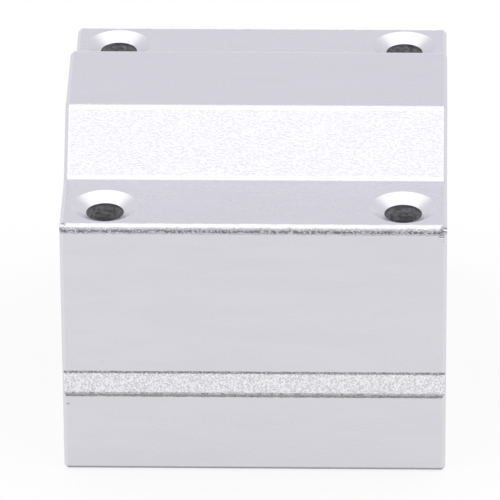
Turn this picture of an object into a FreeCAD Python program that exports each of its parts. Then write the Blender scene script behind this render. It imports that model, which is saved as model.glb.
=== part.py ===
import FreeCAD, Part

# Linear bearing block for a 16 mm shaft: a milled aluminium housing round a recirculating ball bearing.
#
# X runs along the shaft, Y across the block, +Z up. The origin is the centre of the mounting face, so the
# block stands on z = 0 and the shaft axis lies at z = shaft_height. All sizes are millimetres.
#
# The housing is cut from an extruded bar and milled. The bearing sits in its bore between two internal
# circlips: a hardened sleeve, a moulded cage, five closed loops of balls, two split rings that keep the
# cage in, and two lip seals.

import math
import os

from FreeCAD import Vector

# Housing
block_length = 44.0
block_width = 50.0
block_height = 38.0
shoulder_height = 32.0
shaft_height = 19.0
crown_width = 13.7
slope_foot_width = 27.2
shoulder_corner_radius = 0.9
crown_corner_radius = 1.3
slope_foot_radius = 1.2
side_groove_low = 9.75
side_groove_width = 3.35
side_groove_depth = 0.25
side_groove_lower_rise = 0.45
side_groove_lip_radius = 0.1
side_groove_root_radius = 0.12
end_edge_break = 0.4
mounting_edge_break = 0.4
bore_mouth_chamfer = 0.7

# Mounting holes: drilled through, tapped from the mounting face, countersunk at the shoulders
hole_edge_distance = 5.0
hole_diameter = 4.3
hole_sink_diameter = 7.5
hole_sink_angle = 120.0
tapped_mouth_diameter = 5.2

# Bearing
shaft_diameter = 16.0
ball_diameter = 3.175
bearing_wall = 6.0
bearing_length = 37.0
bearing_seat_clearance = 0.01
sleeve_groove_depth = 0.5
sleeve_groove_width = 1.6
sleeve_groove_inset = 5.25
sleeve_edge_break = 0.5
raceway_clearance = 0.005
relief_clearance = 0.1

# Ball loops
loop_count = 5
ball_gap = 0.012
row_web = 1.1
return_lift = 0.9
track_clearance = 0.08
first_row_angle = -90.0

# Cage
cage_recess = 3.2
cage_end_wall = 1.2
cage_bore_clearance = 0.35
cage_fit_clearance = 0.08
cage_edge_break = 0.3

# End rings and seals
end_ring_thickness = 0.9
end_ring_bite = 0.45
end_ring_height = 2.8
end_ring_gap = 3.0
ring_groove_clearance = 0.05
seal_thickness = 1.8
seal_recess = 0.25
seal_seat_clearance = 0.05
seal_lip_clearance = 0.02
seal_lip_land = 0.3
seal_lip_root = 0.75
seal_lip_height = 1.3
seal_face_groove_width = 1.0
seal_face_groove_depth = 0.3

# Circlips
circlip_thickness = 1.2
circlip_seat_depth = 0.7
circlip_groove_clearance = 0.05
circlip_widest = 2.8
circlip_narrowest = 1.6
circlip_gap = 3.6
lug_radius = 1.9
lug_eye_radius = 1.0
lug_reach = 4.3
lug_fillet = 0.8

# Values that follow from the sizes above
hole_spacing_x = block_length - 2 * hole_edge_distance
hole_spacing_y = block_width - 2 * hole_edge_distance
shaft_radius = shaft_diameter / 2
ball_radius = ball_diameter / 2
sleeve_radius = shaft_radius + bearing_wall
seat_radius = sleeve_radius + bearing_seat_clearance
loaded_radius = shaft_radius + ball_radius
return_radius = loaded_radius + return_lift
raceway_radius = loaded_radius + ball_radius + raceway_clearance
track_radius = ball_radius + track_clearance
relief_radius = return_radius + track_radius + relief_clearance
seal_seat_radius = relief_radius + seal_seat_clearance
cage_inner_radius = shaft_radius + cage_bore_clearance
cage_outer_radius = raceway_radius - cage_fit_clearance
row_spacing = ball_diameter + row_web
bearing_half = bearing_length / 2
cage_half = bearing_half - cage_recess
end_ring_inner = cage_half + ring_groove_clearance
end_ring_outer = end_ring_inner + end_ring_thickness
seal_outer = bearing_half - seal_recess
seal_inner = seal_outer - seal_thickness
circlip_inner = bearing_half + circlip_groove_clearance
circlip_outer = circlip_inner + circlip_thickness
circlip_groove_radius = seat_radius + circlip_seat_depth
circlip_radius = circlip_groove_radius - circlip_groove_clearance
ball_pitch = ball_diameter + ball_gap
overcut = 1.0
same_point = 0.01

AXIS_ORIGIN = Vector(0, 0, shaft_height)
ALONG = Vector(1, 0, 0)


def rounded_outline(corners, x):
    """A closed wire in the plane at x, from (y, z, radius) corners. A radius of 0 leaves a corner sharp."""
    points = [Vector(x, y, z) for y, z, _ in corners]
    edges = []
    joints = []
    for k, (_, _, radius) in enumerate(corners):
        here = points[k]
        to_last = (points[k - 1] - here).normalize()
        to_next = (points[(k + 1) % len(points)] - here).normalize()
        if radius == 0:
            joints.append((here, here))
            continue
        half_angle = to_last.getAngle(to_next) / 2
        reach = radius / math.tan(half_angle)
        bisector = (to_last + to_next).normalize()
        middle = here + bisector * (radius / math.sin(half_angle) - radius)
        start, end = here + to_last * reach, here + to_next * reach
        edges.append(Part.Arc(start, middle, end).toShape())
        joints.append((start, end))
    for k, (start, _) in enumerate(joints):
        edges.append(Part.makeLine(joints[k - 1][1], start))
    return Part.Wire(Part.__sortEdges__(edges))


def prism_along_x(corners, length):
    """A prism centred on x = 0 from (y, z, radius) corners."""
    face = Part.Face(rounded_outline(corners, -length / 2))
    return face.extrude(Vector(length, 0, 0))


def box_between(low, high):
    size = [b - a for a, b in zip(low, high)]
    return Part.makeBox(*size, Vector(*low))


def turned(section):
    """A solid of revolution about the shaft axis from (x, radius) corners."""
    points = [Vector(x, 0, shaft_height + r) for x, r in section]
    face = Part.Face(Part.makePolygon(points + points[:1]))
    return face.revolve(AXIS_ORIGIN, ALONG, 360)


def mirrored(solid):
    """The same piece at the other end of the block."""
    return solid.mirror(Vector(0, 0, 0), ALONG)


def both_ends(solid):
    return [solid, mirrored(solid)]


def section_point(angle, radius):
    """The point of the cross-section at an angle (degrees) and a distance from the shaft axis."""
    a = math.radians(angle)
    return Vector(0, radius * math.cos(a), shaft_height + radius * math.sin(a))


# ---------------------------------------------------------------- housing


def milled_bar():
    """The bar with its crown, slopes and shoulders, and every edge of its ends broken at 45 degrees."""
    side = block_width / 2
    right = [
        (side - mounting_edge_break, 0, 0),
        (side, mounting_edge_break, 0),
        (side, shoulder_height, shoulder_corner_radius),
        (slope_foot_width / 2, shoulder_height, slope_foot_radius),
        (crown_width / 2, block_height, crown_corner_radius),
    ]
    corners = right + [(-y, z, r) for y, z, r in reversed(right)]
    middle_length = block_length - 2 * end_edge_break
    bar = prism_along_x(corners, middle_length)
    wide = rounded_outline(corners, middle_length / 2)
    narrow = wide.makeOffset2D(-end_edge_break, 2)
    narrow.translate(Vector(end_edge_break, 0, 0))
    end = Part.makeLoft([wide, narrow], True, True)
    return bar.multiFuse(both_ends(end)).removeSplitter()


def side_groove_cutter():
    """The shallow groove along each side: a square upper wall, and a lower wall that slopes out."""
    side = block_width / 2
    root = side - side_groove_depth
    low, high = side_groove_low, side_groove_low + side_groove_width
    lip, inner = side_groove_lip_radius, side_groove_root_radius
    corners = [
        (side + overcut, low - overcut, 0),
        (side, low - overcut, 0),
        (side, low, lip),
        (root, low + side_groove_lower_rise, inner),
        (root, high, inner),
        (side, high, lip),
        (side, high + overcut, 0),
        (side + overcut, high + overcut, 0),
    ]
    return prism_along_x(corners, block_length + 2 * overcut)


def bore_cutter():
    """The bearing seat, its two circlip grooves and its chamfered mouths."""
    mouth = block_length / 2
    groove_outer = circlip_outer + circlip_groove_clearance
    quarter = [
        (0, 0),
        (0, seat_radius),
        (bearing_half, seat_radius),
        (bearing_half, circlip_groove_radius),
        (groove_outer, circlip_groove_radius),
        (groove_outer, seat_radius),
        (mouth - bore_mouth_chamfer, seat_radius),
        (mouth + overcut, seat_radius + bore_mouth_chamfer + overcut),
        (mouth + overcut, 0),
    ]
    half = turned(quarter)
    return half.fuse(mirrored(half))


def hole_cutter(x, y):
    """A drilled hole with a wide countersink at the shoulder and a chamfered mouth for the tapped end."""
    drill = hole_diameter / 2
    sink = hole_sink_diameter / 2
    mouth = tapped_mouth_diameter / 2
    flare = math.tan(math.radians(hole_sink_angle / 2))
    section = [
        (0, -overcut),
        (mouth + overcut, -overcut),
        (drill, mouth - drill),
        (drill, shoulder_height - (sink - drill) / flare),
        (sink + overcut * flare, shoulder_height + overcut),
        (0, shoulder_height + overcut),
    ]
    points = [Vector(x + r, y, z) for r, z in section]
    face = Part.Face(Part.makePolygon(points + points[:1]))
    return face.revolve(Vector(x, y, 0), Vector(0, 0, 1), 360)


def housing():
    groove = side_groove_cutter()
    other_groove = groove.mirror(Vector(0, 0, 0), Vector(0, 1, 0))
    block = milled_bar().cut([groove, other_groove, bore_cutter()])
    for sx in (-1, 1):
        for sy in (-1, 1):
            block = block.cut(hole_cutter(sx * hole_spacing_x / 2, sy * hole_spacing_y / 2))
    return block


# ---------------------------------------------------------------- ball loops


class BallLoop:
    """One closed track: a loaded row on the shaft, a return row lifted clear of it, and two round turns.

    Both rows are parallel to the shaft, so the track lies in one plane, at a slight angle to the cage.
    """

    def __init__(self, number):
        loaded_angle = first_row_angle + number * 360 / loop_count
        step = math.degrees(row_spacing / ((loaded_radius + return_radius) / 2))
        self.loaded = section_point(loaded_angle, loaded_radius)
        self.back = section_point(loaded_angle + step, return_radius)
        self.across = self.back - self.loaded
        self.turn_radius = self.across.Length / 2
        self.across.normalize()
        self.outward = self.across.cross(ALONG)
        self.centre = (self.loaded + self.back) * 0.5
        turn_reach = math.sqrt(ball_pitch**2 - self.turn_radius**2)
        row_room = cage_half - cage_end_wall - track_radius - turn_reach
        self.balls_per_row = int(2 * row_room / ball_pitch) + 1
        self.row_half = (self.balls_per_row - 1) * ball_pitch / 2
        self.straight_half = self.row_half + turn_reach - self.turn_radius

    def row(self, middle):
        """Ball centres of a row through its middle point, which is `loaded` or `back`."""
        return [middle + ALONG * (k * ball_pitch - self.row_half) for k in range(self.balls_per_row)]

    def turns(self):
        """The ball half-way round each turn, touching the last ball of both rows."""
        return [self.centre + ALONG * (end * (self.straight_half + self.turn_radius)) for end in (-1, 1)]

    def channel_section(self, end):
        """The section that a ball sweeps at an end of the loaded row: round below, open outwards above."""
        centre = self.loaded + ALONG * (end * self.straight_half)
        side = self.across * track_radius
        depth = self.outward * (2 * ball_diameter)
        left, right = centre - side, centre + side
        edges = [
            Part.Arc(left, centre - self.outward * track_radius, right).toShape(),
            Part.makeLine(right, right + depth),
            Part.makeLine(right + depth, left + depth),
            Part.makeLine(left + depth, left),
        ]
        return Part.Face(Part.Wire(edges))

    def cutter(self):
        """What the balls sweep on their way round, open outwards so that they can be loaded."""
        row = self.channel_section(-1).extrude(ALONG * (2 * self.straight_half))
        return_row = row.translated(self.back - self.loaded)
        turns = []
        for end in (-1, 1):
            hub = self.centre + ALONG * (end * self.straight_half)
            turns.append(self.channel_section(end).revolve(hub, self.outward * -end, 180))
        return row.multiFuse([return_row] + turns)


def balls(centres):
    return Part.makeCompound([Part.makeSphere(ball_radius, c) for c in centres])


# ---------------------------------------------------------------- bearing


def cage(loops):
    half = cage_half
    b = cage_edge_break
    tube = turned(
        [
            (-half, cage_inner_radius + b),
            (-half + b, cage_inner_radius),
            (half - b, cage_inner_radius),
            (half, cage_inner_radius + b),
            (half, cage_outer_radius - b),
            (half - b, cage_outer_radius),
            (-half + b, cage_outer_radius),
            (-half, cage_outer_radius - b),
        ]
    )
    return tube.cut([loop.cutter() for loop in loops])


def sleeve(loops):
    """The hardened outer sleeve: raceway, end reliefs, seats for rings and seals, and return channels."""
    ramp_start = loops[0].straight_half
    ramp_end = ramp_start + (relief_radius - raceway_radius)
    ring_seat = end_ring_outer + ring_groove_clearance
    ring_groove = seal_seat_radius + end_ring_bite + ring_groove_clearance
    groove_outer = bearing_half - sleeve_groove_inset
    groove_inner = groove_outer - sleeve_groove_width
    b = sleeve_edge_break
    half = [
        (0, raceway_radius),
        (ramp_start, raceway_radius),
        (ramp_end, relief_radius),
        (cage_half, relief_radius),
        (cage_half, ring_groove),
        (ring_seat, ring_groove),
        (ring_seat, seal_seat_radius),
        (bearing_half - b / 2, seal_seat_radius),
        (bearing_half, seal_seat_radius + b / 2),
        (bearing_half, sleeve_radius - b),
        (bearing_half - b, sleeve_radius),
        (groove_outer, sleeve_radius),
        (groove_outer, sleeve_radius - sleeve_groove_depth),
        (groove_inner, sleeve_radius - sleeve_groove_depth),
        (groove_inner, sleeve_radius),
        (0, sleeve_radius),
    ]
    whole = half + [(-x, r) for x, r in reversed(half) if x > 0]
    body = turned(whole)
    channels = []
    for loop in loops:
        start = loop.back - ALONG * ramp_end
        channels.append(Part.makeCylinder(track_radius, 2 * ramp_end, start, ALONG))
    return body.cut(channels)


def end_ring():
    """A split ring that snaps into the sleeve and keeps the cage in."""
    outer = seal_seat_radius + end_ring_bite
    ring = turned(
        [
            (end_ring_inner, outer - end_ring_height),
            (end_ring_outer, outer - end_ring_height),
            (end_ring_outer, outer),
            (end_ring_inner, outer),
        ]
    )
    half_gap = end_ring_gap / 2
    slot = box_between(
        (end_ring_inner - overcut, -half_gap, shaft_height),
        (end_ring_outer + overcut, half_gap, shaft_height + outer + overcut),
    )
    return ring.cut(slot)


def seal():
    """A moulded rubber ring, with an annular groove in its face and a lip that wipes the shaft."""
    lip = shaft_radius + seal_lip_clearance
    root = shaft_radius + seal_lip_root
    face_inner = shaft_radius + seal_lip_height
    groove_middle = (face_inner + seal_seat_radius) / 2
    groove_low = groove_middle - seal_face_groove_width / 2
    groove_high = groove_middle + seal_face_groove_width / 2
    floor = seal_outer - seal_face_groove_depth
    lip_outer = seal_outer - seal_lip_land
    lip_inner = lip_outer - seal_lip_land
    return turned(
        [
            (seal_inner, seal_seat_radius),
            (seal_outer, seal_seat_radius),
            (seal_outer, groove_high + seal_face_groove_depth),
            (floor, groove_high),
            (floor, groove_low),
            (seal_outer, groove_low - seal_face_groove_depth),
            (seal_outer, face_inner),
            (lip_outer, lip),
            (lip_inner, lip),
            (lip_inner - seal_lip_root, root),
            (seal_inner, root),
        ]
    )


def circlip():
    """An internal circlip, widest opposite its gap, with an eyed lug on each side of the gap."""
    base = AXIS_ORIGIN + Vector(circlip_inner, 0, 0)
    offset = (circlip_widest - circlip_narrowest) / 2
    inner_radius = circlip_radius - (circlip_widest + circlip_narrowest) / 2
    lug_side = circlip_gap / 2 + lug_radius
    lug_height = math.sqrt((circlip_radius - lug_reach + lug_radius) ** 2 - lug_side**2)
    lug_centres = [base + Vector(0, side * lug_side, lug_height) for side in (-1, 1)]
    half_gap = circlip_gap / 2
    gap = box_between(
        (circlip_inner - overcut, -half_gap, shaft_height),
        (circlip_outer + overcut, half_gap, shaft_height + circlip_radius + overcut),
    )

    def disc(radius, centre):
        return Part.makeCylinder(radius, circlip_thickness, centre, ALONG)

    def is_lug_root(edge):
        """Whether an edge runs through the thickness where a lug leaves the inside of the ring."""
        ends = [vertex.Point for vertex in edge.Vertexes]
        if len(ends) != 2 or abs(ends[0].x - ends[1].x) < circlip_thickness / 2:
            return False
        y, z = ends[0].y, ends[0].z - shaft_height - offset
        return abs(math.hypot(y, z) - inner_radius) < same_point and abs(y) > lug_side

    ring = disc(circlip_radius, base).cut(disc(inner_radius, base + Vector(0, 0, offset)))
    ring = ring.multiFuse([disc(lug_radius, centre) for centre in lug_centres])
    ring = ring.cut(gap).removeSplitter()
    ring = ring.makeFillet(lug_fillet, [edge for edge in ring.Edges if is_lug_root(edge)])
    return ring.cut([disc(lug_eye_radius, centre) for centre in lug_centres])


# ---------------------------------------------------------------- the pieces


def all_pieces():
    loops = [BallLoop(n) for n in range(loop_count)]
    pieces = {"housing_block": housing(), "bearing_sleeve": sleeve(loops), "ball_cage": cage(loops)}
    for name, solid in (("circlip", circlip()), ("bearing_seal", seal()), ("end_ring", end_ring())):
        pieces[name + "_right"], pieces[name + "_left"] = both_ends(solid)
    for n, loop in enumerate(loops, 1):
        pieces[f"loaded_balls_{n}"] = balls(loop.row(loop.loaded))
        pieces[f"return_balls_{n}"] = balls(loop.row(loop.back))
        pieces[f"turn_balls_{n}"] = balls(loop.turns())
    return pieces


os.makedirs("parts", exist_ok=True)
for name, shape in all_pieces().items():
    shape.exportStep(f"parts/{name}.step")
    print(name, len(shape.Solids), round(shape.Volume, 3), shape.isValid())
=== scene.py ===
import math

import bmesh
import bpy
from mathutils import Matrix, Vector, noise


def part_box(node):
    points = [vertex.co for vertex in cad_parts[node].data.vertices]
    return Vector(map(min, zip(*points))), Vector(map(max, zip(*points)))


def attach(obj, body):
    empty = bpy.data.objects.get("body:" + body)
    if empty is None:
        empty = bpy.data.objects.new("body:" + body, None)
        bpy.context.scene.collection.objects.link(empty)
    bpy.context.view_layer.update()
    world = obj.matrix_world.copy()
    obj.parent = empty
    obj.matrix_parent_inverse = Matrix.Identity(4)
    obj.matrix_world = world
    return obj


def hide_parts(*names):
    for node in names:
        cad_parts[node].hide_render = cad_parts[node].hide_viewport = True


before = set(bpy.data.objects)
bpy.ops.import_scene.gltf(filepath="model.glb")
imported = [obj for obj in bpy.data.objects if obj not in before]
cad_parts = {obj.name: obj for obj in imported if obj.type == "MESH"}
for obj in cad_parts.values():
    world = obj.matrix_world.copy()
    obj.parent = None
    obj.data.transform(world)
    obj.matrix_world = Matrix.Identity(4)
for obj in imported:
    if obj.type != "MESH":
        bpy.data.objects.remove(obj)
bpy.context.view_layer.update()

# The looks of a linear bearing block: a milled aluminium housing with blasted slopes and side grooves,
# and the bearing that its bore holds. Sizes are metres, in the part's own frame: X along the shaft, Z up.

mm = 0.001

# Housing, outside
block_low, block_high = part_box("housing_block")
block_length = block_high.x - block_low.x
block_width = block_high.y - block_low.y
block_height = block_high.z
shoulder_height = 32 * mm
crown_width = 13.7 * mm
slope_foot_width = 27.2 * mm
shoulder_corner_radius = 1.05 * mm
crown_corner_radius = 1.3 * mm
slope_foot_radius = 1.2 * mm
mounting_edge_break = 0.4 * mm
end_edge_break = 0.4 * mm
slice_length = 0.12 * mm

# Side grooves
groove_low = 9.75 * mm
groove_width = 3.35 * mm
groove_depth = 0.25 * mm
groove_lower_rise = 0.45 * mm
groove_lip_radius = 0.1 * mm
groove_root_radius = 0.12 * mm

# Bore
shaft_height = 19 * mm
seat_radius = 14.01 * mm
bearing_half = 18.5 * mm
circlip_groove_radius = 14.71 * mm
circlip_groove_end = 19.8 * mm
bore_mouth_chamfer = 0.7 * mm

# Screw holes, and the thread in their lower end
hole_edge_distance = 5 * mm
hole_x = block_length / 2 - hole_edge_distance
hole_y = block_width / 2 - hole_edge_distance
hole_radius = 2.15 * mm
hole_sink_radius = 3.75 * mm
sink_flare = math.tan(math.radians(62))
hole_sink_depth = (hole_sink_radius - hole_radius) / sink_flare
tapped_mouth_radius = 2.6 * mm
thread_pitch = 0.8 * mm
thread_depth = 0.35 * mm
thread_length = 12 * mm

# Dents along the edges, as (place, ball radius) in millimetres
nicks = [
    ((21.95, -24.6, 31.75), 0.5),
    ((21.45, -25.1, 30.9), 0.3),
    ((21.75, -25.15, 30.35), 0.24),
    ((-21.85, -24.3, 31.95), 0.4),
    ((-21.4, -25.19, 8.85), 0.26),
    ((-20.3, -6.75, 38.16), 0.26),
    ((-19.3, -6.65, 38.18), 0.26),
    ((-12.7, -6.8, 38.15), 0.24),
    ((-10.1, -15.1, 32.21), 0.24),
    ((-0.6, -24.3, 32.14), 0.26),
    ((4.1, -24.85, 31.82), 0.3),
    ((-21.9, -7.2, 37.95), 0.34),
    ((13.2, 24.9, 31.85), 0.3),
    ((-7.4, 24.95, 31.8), 0.32),
    ((21.95, 25.05, 12.6), 0.3),
]

# How finely and how unevenly the surfaces are made
rounding_segments = 10
groove_segments = 5
bore_steps = 160
hole_steps = 96
thread_steps = 32
shoulder_wander, shoulder_dimple = 0.10, 0.05 * mm
other_wander, other_dimple = 0.05, 0.008 * mm
edge_seed = 3.1
lip_shake = 0.045 * mm
lip_reach = 0.12 * mm
crease_angle = math.radians(24)

overcut = 1 * mm
touching = 0.001 * mm


# ------------------------------------------------------------------ mesh helpers


def finished(bm, name, materials=()):
    """A piece from a bmesh, with its doubles merged and its faces turned outwards."""
    bmesh.ops.remove_doubles(bm, verts=bm.verts, dist=touching / 10)
    bmesh.ops.recalc_face_normals(bm, faces=bm.faces)
    mesh = bpy.data.meshes.new(name)
    bm.to_mesh(mesh)
    bm.free()
    for material in materials:
        mesh.materials.append(material)
    piece = bpy.data.objects.new(name, mesh)
    bpy.context.scene.collection.objects.link(piece)
    return piece


def cut(piece, cutters):
    """Takes the cutters out of a piece, and removes them."""
    for cutter in cutters:
        modifier = piece.modifiers.new(cutter.name, "BOOLEAN")
        modifier.operation = "DIFFERENCE"
        modifier.solver = "MANIFOLD"
        modifier.object = cutter
    shape = piece.evaluated_get(bpy.context.evaluated_depsgraph_get())
    mesh = bpy.data.meshes.new_from_object(shape)
    piece.modifiers.clear()
    piece.data = mesh
    for cutter in cutters:
        bpy.data.objects.remove(cutter)
    return piece


def smooth_shaded(piece, sharp_angle):
    """Smooth over the roundings, with creases only where two faces meet at more than the angle."""
    mesh = piece.data
    mesh.polygons.foreach_set("use_smooth", [True] * len(mesh.polygons))
    mesh.set_sharp_from_angle(angle=sharp_angle)
    modifier = piece.modifiers.new("flat_faces_stay_flat", "WEIGHTED_NORMAL")
    modifier.mode = "FACE_AREA"
    modifier.keep_sharp = True
    return piece


def prism_along_x(corners, length, segments):
    """A prism centred on x = 0 from (y, z, radius) corners, and the reach of the rounding at each corner."""
    bm = bmesh.new()
    verts = [bm.verts.new((-length / 2, y, z)) for y, z, _ in corners]
    bm.faces.new(verts)
    places = [vert.co.copy() for vert in verts]
    reaches = []
    for k, vert in enumerate(verts):
        radius = corners[k][2]
        to_last = places[k - 1] - places[k]
        to_next = places[(k + 1) % len(places)] - places[k]
        reach = radius / math.tan(to_last.angle(to_next) / 2)
        reaches.append(reach)
        if radius:
            bmesh.ops.bevel(bm, geom=[vert], offset=reach, offset_type="OFFSET", segments=segments,
                            profile=0.5, affect="VERTICES", clamp_overlap=False, material=-1)
    made = bmesh.ops.extrude_face_region(bm, geom=bm.faces[:])
    far = [item for item in made["geom"] if isinstance(item, bmesh.types.BMVert)]
    bmesh.ops.translate(bm, verts=far, vec=(length, 0, 0))
    return bm, reaches


def sliced(bm, length):
    """Divides a prism's long edges, so that its roundings can be made uneven along their run."""
    long_edges = []
    for edge in bm.edges:
        start, end = edge.verts
        if abs(end.co.x - start.co.x) > length * 0.9:
            long_edges.append(edge)
    cuts = round(length / slice_length)
    bmesh.ops.subdivide_edges(bm, edges=long_edges, cuts=cuts, use_grid_fill=True)


def ripple(x, seed, coarse):
    """A smooth random value between about -1 and 1 that wanders along x, with finer wander on top."""
    value = 0.0
    for share, size in ((0.55, coarse), (0.3, coarse * 0.42), (0.15, coarse * 0.19)):
        value += share * 2 * noise.noise(Vector((x / size, seed, seed * 0.37)))
    return value


def wandering_edge(bm, corner, reach, wander, dimple, seed):
    """Makes one rounding wider and narrower along its run, with shallow dimples, as by hand."""
    y0, z0 = corner
    for vert in bm.verts:
        away = Vector((vert.co.y - y0, vert.co.z - z0))
        if away.length > reach + touching:
            continue
        size = 1 + wander * ripple(vert.co.x, seed, 1.1 * mm)
        on_arc = away.length < reach - touching
        if on_arc:
            place = Vector((vert.co.x, away.x * 1.7, away.y * 1.7)) / (0.38 * mm)
            size += dimple / away.length * (0.5 + 0.8 * noise.noise(place + Vector((seed, seed, 0))))
        vert.co.y = y0 + away.x * size
        vert.co.z = z0 + away.y * size


def spun(section, axis, centre, steps):
    """A closed solid of revolution from (along, radius) corners that start and end on the axis."""
    bm = bmesh.new()
    across = axis.orthogonal().normalized()
    verts = [bm.verts.new(centre + axis * along + across * radius) for along, radius in section]
    edges = [bm.edges.new(pair) for pair in zip(verts, verts[1:])]
    bmesh.ops.spin(bm, geom=verts + edges, cent=centre, axis=axis, angle=2 * math.pi,
                   steps=steps, use_merge=True)
    bmesh.ops.remove_doubles(bm, verts=bm.verts, dist=touching)
    return bm


# ------------------------------------------------------------------ housing


def bar_corners():
    """(y, z, radius) of the bar's section, from one foot over the crown to the other."""
    side = block_width / 2
    half = [
        (side - mounting_edge_break, 0, 0),
        (side, mounting_edge_break, 0),
        (side, shoulder_height, shoulder_corner_radius),
        (slope_foot_width / 2, shoulder_height, slope_foot_radius),
        (crown_width / 2, block_height, crown_corner_radius),
    ]
    return half + [(-y, z, radius) for y, z, radius in reversed(half)]


def bar():
    """The milled bar with its crown, slopes and shoulders, uneven roundings and broken end edges."""
    corners = bar_corners()
    length = block_length - 2 * end_edge_break
    bm, reaches = prism_along_x(corners, length, rounding_segments)
    sliced(bm, length)
    for k, ((y, z, radius), reach) in enumerate(zip(corners, reaches)):
        if radius == shoulder_corner_radius:
            wandering_edge(bm, (y, z), reach, shoulder_wander, shoulder_dimple, edge_seed + k)
        elif radius:
            wandering_edge(bm, (y, z), reach, other_wander, other_dimple, edge_seed + k)
    ends = [face for face in bm.faces if abs(face.normal.x) > 0.99]
    bmesh.ops.inset_individual(bm, faces=ends, thickness=end_edge_break, depth=end_edge_break,
                               use_even_offset=True)
    return finished(bm, "housing")


def groove_cutter(side):
    """The shallow groove in one side face: square above, sloping out below, with uneven lips."""
    face = block_width / 2
    root = face - groove_depth
    low, high = groove_low, groove_low + groove_width
    corners = [
        (face + overcut, low - overcut, 0),
        (face, low - overcut, 0),
        (face, low, groove_lip_radius),
        (root, low + groove_lower_rise, groove_root_radius),
        (root, high, groove_root_radius),
        (face, high, groove_lip_radius),
        (face, high + overcut, 0),
        (face + overcut, high + overcut, 0),
    ]
    length = block_length + 2 * overcut
    bm, _ = prism_along_x(corners, length, groove_segments)
    sliced(bm, length)
    for vert in bm.verts:
        at_lip = abs(vert.co.y - face) < lip_reach
        for level in (low, high):
            if at_lip and abs(vert.co.z - level) < lip_reach:
                vert.co.z += lip_shake * ripple(vert.co.x, 11.3 + level / mm + side, 0.6 * mm)
    bmesh.ops.scale(bm, vec=(1, side, 1), verts=bm.verts)
    return finished(bm, "side_groove_cutter")


def bore_cutter():
    """The bearing seat, its two circlip grooves and its chamfered mouths."""
    mouth = block_length / 2
    half = [
        (bearing_half, seat_radius),
        (bearing_half, circlip_groove_radius),
        (circlip_groove_end, circlip_groove_radius),
        (circlip_groove_end, seat_radius),
        (mouth - bore_mouth_chamfer, seat_radius),
        (mouth + overcut, seat_radius + bore_mouth_chamfer + overcut),
        (mouth + overcut, 0),
    ]
    section = [(-x, r) for x, r in reversed(half)] + half
    bm = spun(section, Vector((1, 0, 0)), Vector((0, 0, shaft_height)), bore_steps)
    return finished(bm, "bore_cutter")


def hole_cutter(x, y):
    """A drilled hole with a countersink at the shoulder and a chamfered mouth below."""
    section = [
        (-overcut, 0),
        (-overcut, tapped_mouth_radius + overcut),
        (tapped_mouth_radius - hole_radius, hole_radius),
        (shoulder_height - hole_sink_depth, hole_radius),
        (shoulder_height + overcut, hole_sink_radius + overcut * sink_flare),
        (shoulder_height + overcut, 0),
    ]
    bm = spun(section, Vector((0, 0, 1)), Vector((x, y, 0)), hole_steps)
    return finished(bm, "hole_cutter")


def thread_cutter(x, y):
    """The helical thread groove in the lower end of a screw hole."""
    root = 0.06 * mm
    flank = 0.36 * mm
    inner = hole_radius - 0.12 * mm
    outer = hole_radius + thread_depth
    turns = thread_length / thread_pitch + 1
    steps = round(turns * thread_steps)
    low = -thread_pitch
    bm = bmesh.new()
    section = [(inner, -flank), (outer, -root), (outer, root), (inner, flank)]
    verts = [bm.verts.new((x + r, y, low + z)) for r, z in section]
    face = bm.faces.new(verts)
    rise = Vector((0, 0, turns * thread_pitch / steps))
    bmesh.ops.spin(bm, geom=[face], cent=(x, y, 0), axis=(0, 0, 1), dvec=rise,
                   angle=turns * 2 * math.pi, steps=steps, use_merge=False)
    return finished(bm, "thread_cutter")


def nick_cutter(place, size):
    """A small ball that leaves a shallow dent where it touches the surface."""
    bm = bmesh.new()
    bmesh.ops.create_icosphere(bm, subdivisions=3, radius=size * mm)
    bmesh.ops.scale(bm, vec=(1.5, 1, 1), verts=bm.verts)
    bmesh.ops.translate(bm, vec=Vector(place) * mm, verts=bm.verts)
    return finished(bm, "nick_cutter")


def on_slope(face):
    rise = block_height - shoulder_height
    run = (slope_foot_width - crown_width) / 2
    slope = math.atan2(rise, run)
    return abs(face.normal.z - math.cos(slope)) < 0.004 and face.center.z > shoulder_height


def in_side_groove(face, mesh):
    places = [mesh.vertices[v].co for v in face.vertices]
    deep = min(abs(p.y) for p in places) < block_width / 2 - groove_depth * 0.5
    near = all(groove_low - touching < p.z < groove_low + groove_width + touching for p in places)
    shallow = all(abs(p.y) > block_width / 2 - groove_depth - touching for p in places)
    return deep and near and shallow


def in_countersink(face, mesh):
    limit = hole_sink_radius + 0.02 * mm
    places = [mesh.vertices[v].co for v in face.vertices]
    near = all(math.hypot(abs(p.x) - hole_x, abs(p.y) - hole_y) < limit for p in places)
    return near and face.normal.z < 0.99 and face.center.z > shoulder_height - hole_sink_depth


def in_bore(face, mesh):
    limit = circlip_groove_radius + 0.05 * mm
    places = [mesh.vertices[v].co for v in face.vertices]
    return all(math.hypot(p.y, p.z - shaft_height) < limit for p in places)


def in_drilled_hole(face, mesh):
    limit = hole_radius + thread_depth + 0.05 * mm
    places = [mesh.vertices[v].co for v in face.vertices]
    near = all(math.hypot(abs(p.x) - hole_x, abs(p.y) - hole_y) < limit for p in places)
    return near and face.center.z < shoulder_height - hole_sink_depth


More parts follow.
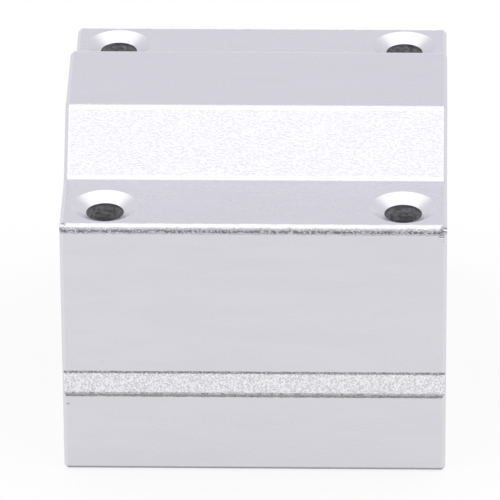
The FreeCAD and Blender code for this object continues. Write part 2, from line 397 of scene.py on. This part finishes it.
def housing(milled, blasted, grooved, bored, drilled):
    piece = bar()
    cutters = [groove_cutter(1), groove_cutter(-1), bore_cutter()]
    for sx in (-1, 1):
        for sy in (-1, 1):
            cutters.append(hole_cutter(sx * hole_x, sy * hole_y))
            cutters.append(thread_cutter(sx * hole_x, sy * hole_y))
    cutters += [nick_cutter(place, size) for place, size in nicks]
    cut(piece, cutters)
    mesh = piece.data
    mesh.materials.clear()
    for material in (milled, blasted, grooved, bored, drilled):
        mesh.materials.append(material)
    for face in mesh.polygons:
        face.material_index = 0
        if in_drilled_hole(face, mesh):
            face.material_index = 4
        elif in_bore(face, mesh) or in_countersink(face, mesh):
            face.material_index = 3
        elif in_side_groove(face, mesh):
            face.material_index = 2
        elif on_slope(face):
            face.material_index = 1
    smooth_shaded(piece, crease_angle)
    return piece


# ------------------------------------------------------------------ materials


def add(tree, kind, inputs=None, **settings):
    """A new node with its settings, and its inputs set to values or linked to sockets."""
    made = tree.nodes.new(kind)
    for name, value in settings.items():
        setattr(made, name, value)
    for name, value in (inputs or {}).items():
        if isinstance(value, bpy.types.NodeSocket):
            tree.links.new(value, made.inputs[name])
        else:
            made.inputs[name].default_value = value
    return made


def maths(tree, operation, a, b=0.0):
    return add(tree, "ShaderNodeMath", {0: a, 1: b}, operation=operation).outputs[0]


def spread(tree, value, low, high, new_low, new_high):
    """Maps low..high of a value to new_low..new_high, with soft ends."""
    inputs = {"Value": value, "From Min": low, "From Max": high, "To Min": new_low, "To Max": new_high}
    return add(tree, "ShaderNodeMapRange", inputs, interpolation_type="SMOOTHSTEP").outputs["Result"]


def effect(name, inputs, outputs):
    """A shader group with float inputs, after a Vector, and float outputs."""
    tree = bpy.data.node_groups.new(name, "ShaderNodeTree")
    tree.interface.new_socket("Vector", in_out="INPUT", socket_type="NodeSocketVector")
    for label, value in inputs.items():
        socket = tree.interface.new_socket(label, in_out="INPUT", socket_type="NodeSocketFloat")
        socket.default_value = value
    for label in outputs:
        tree.interface.new_socket(label, in_out="OUTPUT", socket_type="NodeSocketFloat")
    return tree, add(tree, "NodeGroupInput").outputs, add(tree, "NodeGroupOutput").inputs


def grain_effect():
    """Close random pits and peaks, as blasting leaves."""
    tree, given, result = effect("blast_grain", {"Size": 0.2 * mm}, ["Height"])
    scale = maths(tree, "DIVIDE", 1.0, given["Size"])
    pits = add(tree, "ShaderNodeTexNoise", {"Vector": given["Vector"], "Scale": scale, "Detail": 2.0,
                                            "Roughness": 0.55, "Distortion": 0.6})
    tree.links.new(spread(tree, pits.outputs["Fac"], 0.3, 0.7, 0.0, 1.0), result["Height"])
    return tree


def smudge_effect():
    """Faint cloudy stains, drawn out along the first axis."""
    tree, given, result = effect("smudges", {"Size": 4 * mm, "Stretch": 3.0}, ["Shade"])
    scale = maths(tree, "DIVIDE", 1.0, given["Size"])
    squeeze = add(tree, "ShaderNodeCombineXYZ", {"X": maths(tree, "DIVIDE", 1.0, given["Stretch"]),
                                                 "Y": 1.0, "Z": 1.0})
    place = add(tree, "ShaderNodeVectorMath", {0: given["Vector"], 1: squeeze.outputs[0]},
                operation="MULTIPLY")
    cloud = add(tree, "ShaderNodeTexNoise", {"Vector": place.outputs[0], "Scale": scale, "Detail": 5.0,
                                             "Roughness": 0.6, "Distortion": 0.4})
    tree.links.new(spread(tree, cloud.outputs["Fac"], 0.3, 0.7, 0.0, 1.0), result["Shade"])
    return tree


def speck_effect():
    """Sparse small dark specks and nicks."""
    tree, given, result = effect("specks", {"Spacing": 2 * mm, "Size": 0.12, "Share": 0.3}, ["Mask"])
    scale = maths(tree, "DIVIDE", 1.0, given["Spacing"])
    cells = add(tree, "ShaderNodeTexVoronoi", {"Vector": given["Vector"], "Scale": scale})
    chance = add(tree, "ShaderNodeSeparateColor", {"Color": cells.outputs["Color"]})
    kept = maths(tree, "LESS_THAN", chance.outputs[0], given["Share"])
    limit = maths(tree, "MULTIPLY", given["Size"], chance.outputs[1])
    near = spread(tree, cells.outputs["Distance"], 0.0, limit, 1.0, 0.0)
    tree.links.new(maths(tree, "MULTIPLY", near, kept), result["Mask"])
    return tree


def tool_mark_effect():
    """Fine parallel marks that run along the first axis."""
    tree, given, result = effect("tool_marks", {"Size": 0.15 * mm, "Length": 40.0}, ["Height"])
    scale = maths(tree, "DIVIDE", 1.0, given["Size"])
    squeeze = add(tree, "ShaderNodeCombineXYZ", {"X": maths(tree, "DIVIDE", 1.0, given["Length"]),
                                                 "Y": 1.0, "Z": 1.0})
    place = add(tree, "ShaderNodeVectorMath", {0: given["Vector"], 1: squeeze.outputs[0]},
                operation="MULTIPLY")
    lines = add(tree, "ShaderNodeTexNoise", {"Vector": place.outputs[0], "Scale": scale, "Detail": 3.0,
                                             "Roughness": 0.6})
    tree.links.new(lines.outputs["Fac"], result["Height"])
    return tree


def ragged_line_effect():
    """A broken, uneven line mask that lies level at one height, for burrs and tears along an edge, and for
    painted shade along edges and under lips.
    """
    inputs = {"Level": 0.0, "Thickness": 0.3 * mm, "Wander": 0.1 * mm, "Size": 0.4 * mm,
              "Gaps": 0.4}
    tree, given, result = effect("ragged_line", inputs, ["Mask"])
    scale = maths(tree, "DIVIDE", 1.0, given["Size"])
    wander = add(tree, "ShaderNodeTexNoise", {"Vector": given["Vector"], "Scale": scale, "Detail": 3.0,
                                              "Roughness": 0.65})
    swing = maths(tree, "MULTIPLY", maths(tree, "SUBTRACT", wander.outputs["Fac"], 0.5), given["Wander"])
    place = add(tree, "ShaderNodeSeparateXYZ", {"Vector": given["Vector"]})
    height = maths(tree, "ADD", place.outputs["Z"], maths(tree, "MULTIPLY", swing, 4.0))
    away = maths(tree, "ABSOLUTE", maths(tree, "SUBTRACT", height, given["Level"]))
    half = maths(tree, "MULTIPLY", given["Thickness"], 0.5)
    band = spread(tree, away, maths(tree, "MULTIPLY", half, 0.4), half, 1.0, 0.0)
    patches = add(tree, "ShaderNodeTexNoise", {"Vector": given["Vector"],
                                               "Scale": scale, "Detail": 2.0})
    whole = maths(tree, "SUBTRACT", 1.0, given["Gaps"])
    broken = spread(tree, patches.outputs["Fac"], 0.38, 0.58, whole, 1.0)
    tree.links.new(maths(tree, "MULTIPLY", band, broken), result["Mask"])
    return tree


blast_grain = grain_effect()
smudges = smudge_effect()
specks = speck_effect()
tool_marks = tool_mark_effect()
ragged_line = ragged_line_effect()


class Finish:
    """A material under construction: its tree, its shader, its object coordinates and its bumps."""

    def __init__(self, name, metallic, specular=0.5):
        self.material = bpy.data.materials.new(name)
        self.material.use_nodes = True
        self.tree = self.material.node_tree
        self.shader = self.tree.nodes["Principled BSDF"]
        self.shader.inputs["Metallic"].default_value = metallic
        self.shader.inputs["Specular IOR Level"].default_value = specular
        self.place = add(self.tree, "ShaderNodeTexCoord").outputs["Object"]
        self.normal = None

    def use(self, group, output, vector=None, **inputs):
        """The output of an effect, placed with its own values."""
        made = add(self.tree, "ShaderNodeGroup", None, node_tree=group)
        for name, value in {"Vector": vector or self.place, **inputs}.items():
            if isinstance(value, bpy.types.NodeSocket):
                self.tree.links.new(value, made.inputs[name])
            else:
                made.inputs[name].default_value = value
        return made.outputs[output]

    def mix(self, factor, a, b):
        """A colour between a and b."""
        made = add(self.tree, "ShaderNodeMix", None, data_type="RGBA")
        for socket, value in ((made.inputs[0], factor), (made.inputs[6], a), (made.inputs[7], b)):
            if isinstance(value, bpy.types.NodeSocket):
                self.tree.links.new(value, socket)
            else:
                socket.default_value = value
        return made.outputs[2]

    def bump(self, height, distance):
        """Adds a relief of that depth in metres to the normal."""
        inputs = {"Height": height, "Distance": distance, "Strength": 1.0}
        if self.normal:
            inputs["Normal"] = self.normal
        self.normal = add(self.tree, "ShaderNodeBump", inputs).outputs["Normal"]

    def done(self, colour, roughness):
        for name, value in (("Base Color", colour), ("Roughness", roughness), ("Normal", self.normal)):
            if isinstance(value, bpy.types.NodeSocket):
                self.tree.links.new(value, self.shader.inputs[name])
            elif value is not None:
                self.shader.inputs[name].default_value = value
        return self.material


aluminium = (0.705, 0.70, 0.742, 1)
aluminium_dull = (0.69, 0.686, 0.727, 1)
aluminium_cut = (0.728, 0.722, 0.762, 1)
aluminium_pitted = (0.72, 0.71, 0.755, 1)
aluminium_bright = (0.665, 0.658, 0.69, 1)
aluminium_pale = (0.745, 0.738, 0.77, 1)
aluminium_white = (0.955, 0.95, 1.0, 1)
# Dark colour for real specks, and also for painted shade along edges, under the groove's lip and in the
# screw holes
grime_and_painted_shade = (0.10, 0.10, 0.105, 1)


def milled_aluminium():
    finish = Finish("milled_aluminium", metallic=1.0)
    tree = finish.tree
    stain = finish.use(smudges, "Shade", Size=2.2 * mm, Stretch=5.0)
    colour = finish.mix(stain, aluminium_dull, aluminium)
    speck = finish.use(specks, "Mask", Spacing=2.2 * mm, Size=0.10, Share=0.12)
    colour = finish.mix(maths(tree, "MULTIPLY", speck, 0.5), colour, grime_and_painted_shade)
    place = add(tree, "ShaderNodeSeparateXYZ", {"Vector": finish.place}).outputs
    from_middle = maths(tree, "ABSOLUTE", place["X"])
    end = block_length / 2 - end_edge_break
    fresh = spread(tree, from_middle, end - 0.02 * mm, end + 0.02 * mm, 0.0, 1.0)
    high = spread(tree, place["Z"], shoulder_height - 0.1 * mm, shoulder_height + 0.1 * mm, 0.0, 1.0)
    colour = finish.mix(fresh, colour, finish.mix(high, aluminium_cut, aluminium_pitted))
    # A broken dark line low on the shoulder rounding, near the side faces: partly a burr, partly painted
    # shadow under it
    burr_and_shade_level = shoulder_height - 0.57 * shoulder_corner_radius
    burr_and_painted_shade = finish.use(ragged_line, "Mask", Level=burr_and_shade_level, Thickness=0.44 * mm, Wander=0.15 * mm,
                      Size=0.3 * mm, Gaps=0.9)
    side = block_width / 2
    at_edge = spread(tree, maths(tree, "ABSOLUTE", place["Y"]), side - 0.7 * mm, side - 0.6 * mm, 0.0, 1.0)
    burr_and_painted_shade = maths(tree, "MULTIPLY", burr_and_painted_shade, at_edge)
    torn = finish.use(ragged_line, "Mask", Level=burr_and_shade_level, Thickness=0.9 * mm, Wander=0.1 * mm,
                      Size=0.5 * mm)
    torn = maths(tree, "MULTIPLY", torn, at_edge)
    # Painted shade: a dark line along the mounting edge break at the foot of the side faces, standing in for
    # the contact shadow seen in it
    foot = finish.use(ragged_line, "Mask", Level=0.18 * mm, Thickness=0.75 * mm, Wander=0.03 * mm,
                      Size=1.5 * mm, Gaps=0.1)
    foot = maths(tree, "MULTIPLY", foot, at_edge)
    # The burr line with its painted shadow and the painted foot shade darken the colour
    dark = maths(tree, "MAXIMUM", maths(tree, "MULTIPLY", burr_and_painted_shade, 0.72), maths(tree, "MULTIPLY", foot, 0.85))
    colour = finish.mix(dark, colour, grime_and_painted_shade)
    lines = finish.use(tool_marks, "Height", Size=0.12 * mm, Length=30.0)
    fine = finish.use(blast_grain, "Height", Size=0.09 * mm)
    tears = finish.use(blast_grain, "Height", Size=0.17 * mm)
    finish.bump(maths(tree, "MULTIPLY", torn, tears), 0.12 * mm)
    finish.bump(lines, 0.0005 * mm)
    finish.bump(fine, 0.0004 * mm)
    roughness = spread(tree, stain, 0.0, 1.0, 0.28, 0.265)
    return finish.done(colour, roughness)


def blasted_aluminium():
    finish = Finish("blasted_aluminium", metallic=1.0)
    tree = finish.tree
    drawn_out = add(tree, "ShaderNodeMapping", {"Vector": finish.place, "Scale": (0.65, 1, 1)})
    pits = finish.use(blast_grain, "Height", drawn_out.outputs[0], Size=0.2 * mm)
    colour = finish.mix(pits, aluminium_bright, aluminium_pale)
    place = add(tree, "ShaderNodeSeparateXYZ", {"Vector": finish.place})
    from_middle = maths(tree, "ABSOLUTE", place.outputs["X"])
    end = block_length / 2 - end_edge_break
    grown = spread(tree, from_middle, end - 0.5 * mm, end - 0.15 * mm, 1.0, 0.0)
    finish.bump(maths(tree, "MULTIPLY", pits, grown), 0.012 * mm)
    return finish.done(colour, spread(tree, pits, 0.0, 1.0, 0.42, 0.34))


def groove_aluminium():
    finish = Finish("groove_aluminium", metallic=1.0)
    tree = finish.tree
    pits = finish.use(blast_grain, "Height", Size=0.17 * mm)
    peaks = spread(tree, pits, 0.1, 0.75, 0.0, 1.0)
    colour = finish.mix(peaks, aluminium_bright, aluminium_white)
    # Painted shade: a dark ragged band just under the groove's upper lip, where the lip shades the groove
    # floor
    painted_lip_shade = finish.use(ragged_line, "Mask", Level=groove_low + groove_width - 0.2 * mm,
                           Thickness=0.62 * mm, Wander=0.1 * mm, Size=0.25 * mm)
    # A dark ragged line at the groove's lower lip: partly burr, partly painted shade in the corner
    foot_burr_and_shade = finish.use(ragged_line, "Mask", Level=groove_low + 0.1 * mm,
                         Thickness=0.47 * mm, Wander=0.15 * mm, Size=0.22 * mm)
    # Both lines mix into the colour as darkening: painted shade, with some burr at the foot
    dark = maths(tree, "MAXIMUM", painted_lip_shade, maths(tree, "MULTIPLY", foot_burr_and_shade, 0.7))
    colour = finish.mix(maths(tree, "MULTIPLY", dark, 0.78), colour, grime_and_painted_shade)
    finish.bump(pits, 0.02 * mm)
    return finish.done(colour, spread(tree, pits, 0.0, 1.0, 0.38, 0.30))


def bored_aluminium():
    finish = Finish("bored_aluminium", metallic=1.0)
    lines = finish.use(tool_marks, "Height", Size=0.1 * mm, Length=1.0)
    finish.bump(lines, 0.001 * mm)
    colour = finish.mix(lines, aluminium, aluminium_bright)
    return finish.done(colour, 0.32)


def drilled_aluminium():
    finish = Finish("drilled_aluminium", metallic=0.2)
    tree = finish.tree
    # The mottled stain is the wall's own, but the wall is also painted dark, with little metal, for the
    # shade inside the hole
    stain = finish.use(smudges, "Shade", Size=0.28 * mm, Stretch=3.0)
    colour = finish.mix(stain, (0.20, 0.198, 0.215, 1), (0.56, 0.55, 0.58, 1))
    height = add(tree, "ShaderNodeSeparateXYZ", {"Vector": finish.place}).outputs["Z"]
    sink_foot = shoulder_height - hole_sink_depth
    # Painted shade: darker just below the countersink's foot, darker again deep in the hole, and darker
    # where the wall turns away from the view
    painted_rim_shade = spread(tree, height, sink_foot - 0.55 * mm, sink_foot - 0.15 * mm, 0.0, 1.0)
    deep = spread(tree, height, sink_foot - 2.3 * mm, sink_foot - 1.8 * mm, 1.0, 0.0)
    turned_away = add(tree, "ShaderNodeLayerWeight", {"Blend": 0.5}).outputs["Facing"]
    flank = spread(tree, turned_away, 0.55, 0.85, 0.0, 1.0)
    shade = maths(tree, "MAXIMUM", maths(tree, "MAXIMUM", painted_rim_shade, deep), flank)
    shade = maths(tree, "MULTIPLY", shade, 0.65)
    colour = finish.mix(shade, colour, grime_and_painted_shade)
    lines = finish.use(tool_marks, "Height", Size=0.12 * mm, Length=1.0)
    finish.bump(lines, 0.003 * mm)
    return finish.done(colour, 0.5)


def ground_steel():
    finish = Finish("ground_steel", metallic=1.0)
    lines = finish.use(tool_marks, "Height", Size=0.08 * mm, Length=1.0)
    colour = finish.mix(lines, (0.50, 0.50, 0.51, 1), (0.62, 0.62, 0.63, 1))
    finish.bump(lines, 0.001 * mm)
    return finish.done(colour, 0.26)


def polished_steel():
    finish = Finish("polished_steel", metallic=1.0)
    stain = finish.use(smudges, "Shade", Size=1.2 * mm, Stretch=1.0)
    colour = finish.mix(stain, (0.70, 0.70, 0.71, 1), (0.80, 0.80, 0.81, 1))
    return finish.done(colour, spread(finish.tree, stain, 0.0, 1.0, 0.12, 0.06))


def moulded_plastic():
    finish = Finish("moulded_plastic", metallic=0.0)
    pits = finish.use(blast_grain, "Height", Size=0.15 * mm)
    finish.bump(pits, 0.004 * mm)
    colour = finish.mix(pits, (0.045, 0.045, 0.05, 1), (0.065, 0.065, 0.07, 1))
    return finish.done(colour, 0.45)


def seal_rubber():
    finish = Finish("seal_rubber", metallic=0.0, specular=0.4)
    dust = finish.use(smudges, "Shade", Size=1.5 * mm, Stretch=1.0)
    pits = finish.use(blast_grain, "Height", Size=0.12 * mm)
    finish.bump(pits, 0.004 * mm)
    colour = finish.mix(dust, (0.018, 0.018, 0.02, 1), (0.032, 0.032, 0.034, 1))
    return finish.done(colour, spread(finish.tree, dust, 0.0, 1.0, 0.5, 0.64))


def pressed_steel():
    finish = Finish("pressed_steel", metallic=1.0)
    stain = finish.use(smudges, "Shade", Size=1.5 * mm, Stretch=1.0)
    colour = finish.mix(stain, (0.42, 0.42, 0.43, 1), (0.55, 0.55, 0.56, 1))
    return finish.done(colour, 0.35)


def blackened_steel():
    finish = Finish("blackened_steel", metallic=0.6)
    stain = finish.use(smudges, "Shade", Size=1.0 * mm, Stretch=1.0)
    pits = finish.use(blast_grain, "Height", Size=0.1 * mm)
    finish.bump(pits, 0.004 * mm)
    colour = finish.mix(stain, (0.07, 0.07, 0.075, 1), (0.10, 0.10, 0.105, 1))
    return finish.done(colour, spread(finish.tree, stain, 0.0, 1.0, 0.42, 0.34))


# ------------------------------------------------------------------ bearing


def finish_nodes():
    """Gives each piece of the bearing its own finish."""
    finishes = {
        "bearing_sleeve": ground_steel(),
        "ball_cage": moulded_plastic(),
        "bearing_seal": seal_rubber(),
        "end_ring": pressed_steel(),
        "circlip": blackened_steel(),
        "balls": polished_steel(),
    }
    for name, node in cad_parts.items():
        for word, material in finishes.items():
            if word in name:
                node.material_slots[0].material = material


# ------------------------------------------------------------------ studio


floor_front = -0.24
floor_half = 0.5
floor_drop = 0.02 * mm
softbox_centre = Vector((0, -0.09, 0.70))
softbox_width = 1.6
softbox_depth = 0.98
softbox_radiance = 0.6


def studio_floor():
    """A pale sheet that ends some way in front of the object, and is clear from underneath."""
    bm = bmesh.new()
    bmesh.ops.create_grid(bm, x_segments=1, y_segments=1, size=floor_half)
    bmesh.ops.translate(bm, verts=bm.verts, vec=(0, floor_front + floor_half, -floor_drop))
    material = bpy.data.materials.new("studio_floor")
    material.use_nodes = True
    tree = material.node_tree
    tree.nodes.clear()
    lit = add(tree, "ShaderNodeBsdfDiffuse", {"Color": (0.9, 0.9, 0.9, 1)})
    white = add(tree, "ShaderNodeEmission", {"Color": (1, 1, 1, 1), "Strength": 1.0})
    path = add(tree, "ShaderNodeLightPath").outputs
    seen = maths(tree, "MAXIMUM", path["Is Camera Ray"], path["Is Glossy Ray"])
    seen = maths(tree, "MAXIMUM", seen, path["Is Transmission Ray"])
    share = maths(tree, "MULTIPLY", seen, 0.85)
    both = add(tree, "ShaderNodeMixShader", {0: share, 1: lit.outputs[0], 2: white.outputs[0]})
    below = add(tree, "ShaderNodeNewGeometry").outputs["Backfacing"]
    clear = add(tree, "ShaderNodeBsdfTransparent")
    sheet = add(tree, "ShaderNodeMixShader", {0: below, 1: both.outputs[0], 2: clear.outputs[0]})
    add(tree, "ShaderNodeOutputMaterial", {"Surface": sheet.outputs[0]})
    floor = finished(bm, "studio_floor", [material])
    return floor


def softbox(name, centre, width, depth, radiance):
    """A large lamp that hangs over the object and faces down."""
    lamp = bpy.data.lights.new(name, "AREA")
    lamp.shape = "RECTANGLE"
    lamp.size, lamp.size_y = width, depth
    lamp.energy = radiance * math.pi * width * depth
    item = bpy.data.objects.new(name, lamp)
    item.location = centre
    item.visible_camera = False
    bpy.context.scene.collection.objects.link(item)
    return item


def studio_world():
    """A pale room: dim in front except overhead, and a little cool behind the object."""
    world = bpy.data.worlds.new("studio_room")
    world.use_nodes = True
    tree = world.node_tree
    tree.nodes.clear()
    way = add(tree, "ShaderNodeTexCoord").outputs["Generated"]
    parts = add(tree, "ShaderNodeSeparateXYZ", {"Vector": way})
    not_high = spread(tree, parts.outputs["Z"], 0.70, 0.85, 1.0, 0.0)
    in_front = spread(tree, parts.outputs["Y"], -0.5, -0.2, 1.0, 0.0)
    room = spread(tree, maths(tree, "MULTIPLY", not_high, in_front), 0.0, 1.0, 1.0, 0.42)
    behind = spread(tree, parts.outputs["Y"], 0.3, 0.7, 0.0, 1.0)
    tint = add(tree, "ShaderNodeMix", None, data_type="RGBA")
    tree.links.new(behind, tint.inputs[0])
    tint.inputs[6].default_value = (1, 1, 1, 1)
    tint.inputs[7].default_value = (0.907, 0.90, 0.948, 1)
    back = add(tree, "ShaderNodeBackground", {"Color": tint.outputs[2], "Strength": room})
    add(tree, "ShaderNodeOutputWorld", {"Surface": back.outputs[0]})
    bpy.context.scene.world = world


def studio_camera():
    """A long lens in front of one side face, looking down on it."""
    elevation = math.radians(28.993)
    turn = math.radians(1.535)
    roll = math.radians(-0.426)
    distance = 0.81368
    target = Vector((0, 0, 19 * mm))
    back = Vector((math.sin(turn) * math.cos(elevation), -math.cos(turn) * math.cos(elevation),
                   math.sin(elevation)))
    right = Vector((math.cos(turn), math.sin(turn), 0))
    up = back.cross(right)
    across = right * math.cos(roll) + up * math.sin(roll)
    upward = up * math.cos(roll) - right * math.sin(roll)
    place = target + back * distance + across * (-1.001 * mm) + upward * (-3.291 * mm)
    camera = bpy.data.cameras.new("camera")
    camera.sensor_width = 36
    camera.lens = 499.2
    camera.clip_start, camera.clip_end = 0.01, 20
    item = bpy.data.objects.new("camera", camera)
    axes = Matrix((across, upward, back)).transposed()
    item.matrix_world = Matrix.Translation(place) @ axes.to_4x4()
    bpy.context.scene.collection.objects.link(item)
    bpy.context.scene.camera = item


# ------------------------------------------------------------------ the scene

block = housing(milled_aluminium(), blasted_aluminium(), groove_aluminium(), bored_aluminium(),
                drilled_aluminium())
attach(block, "root")
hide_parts("housing_block")
finish_nodes()

studio_floor()
softbox("softbox", softbox_centre, softbox_width, softbox_depth, softbox_radiance)
studio_world()
studio_camera()
bpy.context.scene.view_settings.view_transform = "Standard"
